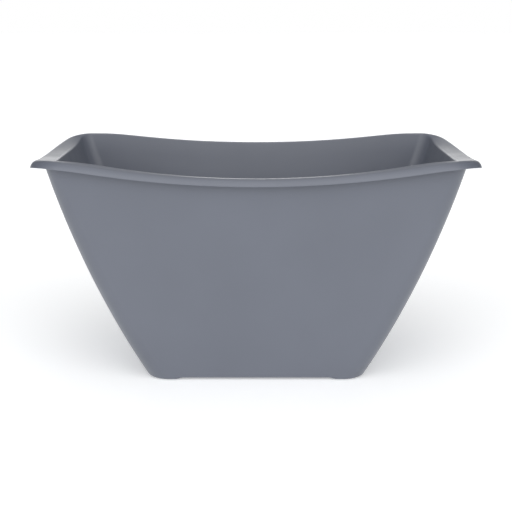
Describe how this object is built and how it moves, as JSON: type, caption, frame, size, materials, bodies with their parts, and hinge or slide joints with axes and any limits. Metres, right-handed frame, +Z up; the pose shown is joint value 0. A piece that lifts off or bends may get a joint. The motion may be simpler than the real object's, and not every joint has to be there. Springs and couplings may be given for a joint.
{
  "type": "pet bathtub",
  "caption": "Deep one-piece plastic pet bathtub with tapering walls, a wide rolled rim that dips along the sides, corner feet and a floor drain with a rubber stopper.",
  "frame": {"origin": "on the ground under the middle of the tub", "axes": "+X along the tub towards its drain end, +Y across it to the back, +Z up"},
  "size_m": [0.8, 0.5, 0.3987],
  "materials": {
    "tub_plastic": "slate grey moulded polypropylene, satin",
    "drain_plastic": "dark grey moulded plastic, satin",
    "black_rubber": "black soft rubber, matt",
    "stopper_rubber": "dark grey rubber, matt",
    "ring_steel": "stainless steel wire"
  },
  "bodies": {
    "tub": {"tub_shell": "tub_plastic", "drain_flange": "drain_plastic", "drain_gasket": "black_rubber", "drain_lock_nut": "drain_plastic", "foot_pad_front_left": "black_rubber", "foot_pad_front_right": "black_rubber", "foot_pad_back_left": "black_rubber", "foot_pad_back_right": "black_rubber"},
    "stopper": {"drain_stopper": "stopper_rubber"},
    "ring": {"pull_ring": "ring_steel"}
  },
  "joints": [
    {"name": "stopper_lift", "type": "slide", "parent": "tub", "child": "stopper", "axis": [0, 0, 1], "range_m": [0, 0.42]},
    {"name": "ring_fold", "type": "hinge", "parent": "stopper", "child": "ring", "pos_m": [0.1035, 0, 0.0228], "axis": [-1, 0, 0], "range_deg": [0, 180]}
  ]
}
